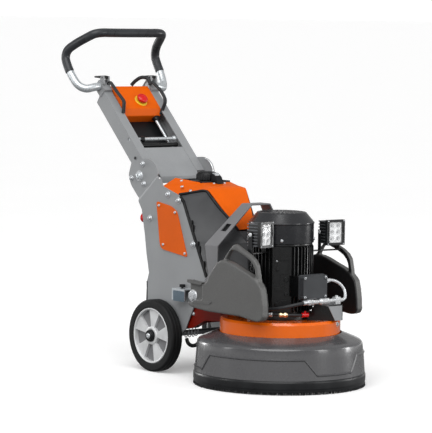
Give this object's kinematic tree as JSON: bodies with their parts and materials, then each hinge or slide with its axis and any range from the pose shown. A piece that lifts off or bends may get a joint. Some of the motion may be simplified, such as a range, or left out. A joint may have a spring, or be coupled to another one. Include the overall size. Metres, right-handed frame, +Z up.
{
  "type": "concrete floor grinder",
  "caption": "Walk-behind concrete floor grinder: round shrouded planetary head under a vertical motor, swing weights, wheels and a folding mast.",
  "frame": {"origin": "on the floor, centred under the whole machine's bounding box", "axes": "+X forward towards the grinding head, +Y to the operator's left, +Z up"},
  "size_m": [1.2396, 0.57, 1.1614],
  "materials": {
    "orange_paint": "satin orange powder coat",
    "grey_paint": "satin light grey powder coat",
    "cast_grey": "painted rough casting",
    "tool_steel": "machined tool steel",
    "frame_grey": "satin dark grey paint",
    "shroud_grey": "satin graphite paint",
    "dark_cover": "moulded dark grey plastic",
    "black_paint": "semi-gloss black paint",
    "black_plastic": "moulded black plastic",
    "grip_foam": "fine grained grip",
    "skirt_rubber": "brush and rubber skirt",
    "tyre_rubber": "solid grey rubber",
    "alloy": "satin cast alloy",
    "bright_steel": "zinc plated steel",
    "red_plastic": "gloss red",
    "hose_rubber": "black hose"
  },
  "bodies": {
    "frame": {"head_housing": "orange_paint", "head_bracket": "orange_paint", "motor_stator": "black_paint", "fan_cowl": "black_paint", "terminal_box": "black_paint", "terminal_lid": "black_paint", "valve_bracket": "grey_paint", "water_valve": "bright_steel", "motor_conduit": "bright_steel", "water_hose": "hose_rubber", "lifting_yoke": "frame_grey", "lamp_bracket_right": "black_paint", "lamp_bracket_left": "black_paint", "side_plate_right": "grey_paint", "side_plate_left": "grey_paint", "service_panel_right": "orange_paint", "service_panel_left": "orange_paint", "top_hood": "orange_paint", "front_cover": "dark_cover", "rear_cover": "black_plastic", "floor_pan": "grey_paint", "wheel_axle": "bright_steel", "water_tank": "black_plastic", "inverter_box": "black_plastic", "weight_bolt_right": "bright_steel", "weight_bolt_left": "bright_steel", "mast_pivot": "bright_steel"},
    "shroud": {"shroud": "shroud_grey", "dust_port": "black_plastic", "brush_skirt": "skirt_rubber"},
    "rotor": {"motor_rotor": "bright_steel", "cooling_fan": "black_plastic"},
    "carrier": {"planet_carrier": "tool_steel"},
    "mast": {"mast_arm_right": "grey_paint", "mast_arm_left": "grey_paint", "mast_panel": "grey_paint", "cross_rod": "bright_steel", "control_box": "orange_paint", "control_cable_right": "hose_rubber", "control_cable_left": "hose_rubber"},
    "handle": {"handlebar": "bright_steel", "handle_grip": "grip_foam"},
    "stop_button": {"emergency_stop": "red_plastic"},
    "switch": {"main_switch": "red_plastic"},
    "cap": {"tank_cap": "black_plastic"},
    "wheel_right": {"tyre_right": "tyre_rubber", "wheel_hub_right": "alloy"},
    "wheel_left": {"tyre_left": "tyre_rubber", "wheel_hub_left": "alloy"},
    "lever_right": {"clamp_lever_right": "black_plastic"},
    "lever_left": {"clamp_lever_left": "black_plastic"},
    "weight_right": {"side_weight_right": "cast_grey"},
    "plunger_right": {"latch_plunger_right": "black_plastic"},
    "lamp_right": {"work_lamp_right": "black_paint"},
    "weight_left": {"side_weight_left": "cast_grey"},
    "plunger_left": {"latch_plunger_left": "black_plastic"},
    "lamp_left": {"work_lamp_left": "black_paint"},
    "disc_1": {"grinding_disc_1": "tool_steel"},
    "disc_2": {"grinding_disc_2": "tool_steel"},
    "disc_3": {"grinding_disc_3": "tool_steel"}
  },
  "joints": [
    {"name": "wheel_right_spin", "type": "hinge", "parent": "frame", "child": "wheel_right", "pos_m": [-0.12572, -0.1605, 0.123], "axis": [0, 1, 0], "continuous": true},
    {"name": "wheel_left_spin", "type": "hinge", "parent": "frame", "child": "wheel_left", "pos_m": [-0.12572, 0.1605, 0.123], "axis": [0, 1, 0], "continuous": true},
    {"name": "mast_fold", "type": "hinge", "parent": "frame", "child": "mast", "pos_m": [-0.26922, 0, 0.656], "axis": [0, 1, 0], "range_deg": [-15, 35]},
    {"name": "handle_tilt", "type": "hinge", "parent": "mast", "child": "handle", "pos_m": [-0.51122, 0, 0.955], "axis": [0, 1, 0], "range_deg": [-60, 45]},
    {"name": "clamp_lever_right_open", "type": "hinge", "parent": "mast", "child": "lever_right", "pos_m": [-0.49722, -0.105, 0.987], "axis": [0, 1, 0], "range_deg": [0, 80]},
    {"name": "clamp_lever_left_open", "type": "hinge", "parent": "mast", "child": "lever_left", "pos_m": [-0.49722, 0.105, 0.987], "axis": [0, 1, 0], "range_deg": [0, 80]},
    {"name": "stop_press", "type": "slide", "parent": "mast", "child": "stop_button", "axis": [-0.7071, 0, -0.7071], "range_m": [0, 0.005], "stiffness_N_per_m": 800, "springref_m": -0.01},
    {"name": "weight_right_lift", "type": "hinge", "parent": "frame", "child": "weight_right", "pos_m": [0.13178, -0.198, 0.284], "axis": [0, -1, 0], "range_deg": [0, 95]},
    {"name": "latch_right_pull", "type": "slide", "parent": "frame", "child": "plunger_right", "axis": [0, 0, 1], "range_m": [0, 0.008], "stiffness_N_per_m": 500, "springref_m": -0.01},
    {"name": "lamp_right_tilt", "type": "hinge", "parent": "frame", "child": "lamp_right", "pos_m": [0.38278, -0.145, 0.504], "axis": [-0.2419, 0.9703, 0], "range_deg": [-25, 25]},
    {"name": "weight_left_lift", "type": "hinge", "parent": "frame", "child": "weight_left", "pos_m": [0.13178, 0.198, 0.284], "axis": [0, -1, 0], "range_deg": [0, 95]},
    {"name": "latch_left_pull", "type": "slide", "parent": "frame", "child": "plunger_left", "axis": [0, 0, 1], "range_m": [0, 0.008], "stiffness_N_per_m": 500, "springref_m": -0.01},
    {"name": "lamp_left_tilt", "type": "hinge", "parent": "frame", "child": "lamp_left", "pos_m": [0.40578, 0.146, 0.502], "axis": [0.1045, 0.9945, 0], "range_deg": [-25, 25]},
    {"name": "carrier_spin", "type": "hinge", "parent": "frame", "child": "carrier", "pos_m": [0.33478, 0, 0.073], "axis": [0, 0, 1], "continuous": true},
    {"name": "rotor_spin", "type": "hinge", "parent": "frame", "child": "rotor", "pos_m": [0.33478, 0, 0.3], "axis": [0, 0, 1], "continuous": true},
    {"name": "disc_1_spin", "type": "hinge", "parent": "carrier", "child": "disc_1", "pos_m": [0.20278, 0, 0.073], "axis": [0, 0, 1], "continuous": true},
    {"name": "disc_2_spin", "type": "hinge", "parent": "carrier", "child": "disc_2", "pos_m": [0.40078, -0.11432, 0.073], "axis": [0, 0, 1], "continuous": true},
    {"name": "disc_3_spin", "type": "hinge", "parent": "carrier", "child": "disc_3", "pos_m": [0.40078, 0.11432, 0.073], "axis": [0, 0, 1], "continuous": true},
    {"name": "shroud_float", "type": "slide", "parent": "frame", "child": "shroud", "axis": [0, 0, 1], "range_m": [0, 0.01]},
    {"name": "switch_turn", "type": "hinge", "parent": "frame", "child": "switch", "pos_m": [-0.25522, -0.108, 0.512], "axis": [1, 0, 0], "range_deg": [0, 90]},
    {"name": "cap_turn", "type": "hinge", "parent": "frame", "child": "cap", "pos_m": [-0.05722, 0, 0.668], "axis": [0, 0, 1], "range_deg": [0, 120]}
  ],
  "couplings": [
    {"joint": "rotor_spin", "follows": "carrier_spin", "ratio": 3.2},
    {"joint": "disc_1_spin", "follows": "carrier_spin", "ratio": -3.6667},
    {"joint": "disc_2_spin", "follows": "carrier_spin", "ratio": -3.6667},
    {"joint": "disc_3_spin", "follows": "carrier_spin", "ratio": -3.6667}
  ]
}
